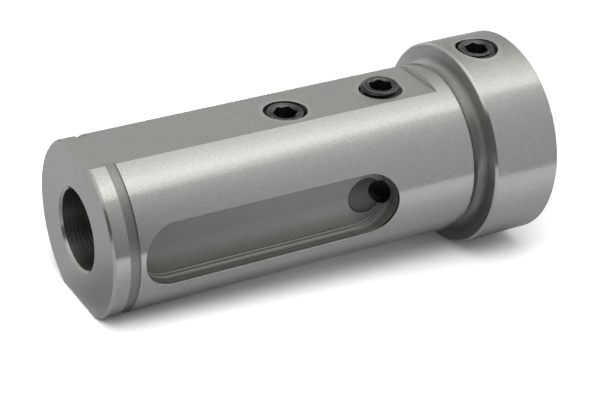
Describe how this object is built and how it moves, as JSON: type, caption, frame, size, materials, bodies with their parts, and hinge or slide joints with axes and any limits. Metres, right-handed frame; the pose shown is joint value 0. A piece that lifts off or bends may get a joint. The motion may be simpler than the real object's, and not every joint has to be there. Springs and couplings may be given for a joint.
{
  "type": "reducing sleeve",
  "caption": "Steel reducing sleeve with a collar, milled flats, a side coolant pocket and radial set screws that clamp a round tool shank.",
  "frame": {"origin": "centre of the collar's end face, where the tool goes in", "axes": "+Z along the bore towards the rear end, -Y through the set screws, -X through the coolant pocket"},
  "size_m": [0.0486, 0.0486, 0.1109],
  "materials": {
    "steel": "ground",
    "black_steel": "black oxide"
  },
  "bodies": {
    "sleeve": {"sleeve": "steel"},
    "rear_set_screw": {"rear_set_screw": "black_steel"},
    "front_set_screw": {"front_set_screw": "black_steel"},
    "collar_set_screw": {"collar_set_screw": "black_steel"}
  },
  "joints": [
    {"name": "rear_screw_feed", "type": "slide", "parent": "sleeve", "child": "rear_set_screw", "axis": [0.061, 0.9981, 0], "range_m": [-0.003, 0.00195]},
    {"name": "front_screw_feed", "type": "slide", "parent": "sleeve", "child": "front_set_screw", "axis": [0.061, 0.9981, 0], "range_m": [-0.003, 0.0035]},
    {"name": "collar_screw_feed", "type": "slide", "parent": "sleeve", "child": "collar_set_screw", "axis": [0.061, 0.9981, 0], "range_m": [-0.003, 0.00385]}
  ]
}
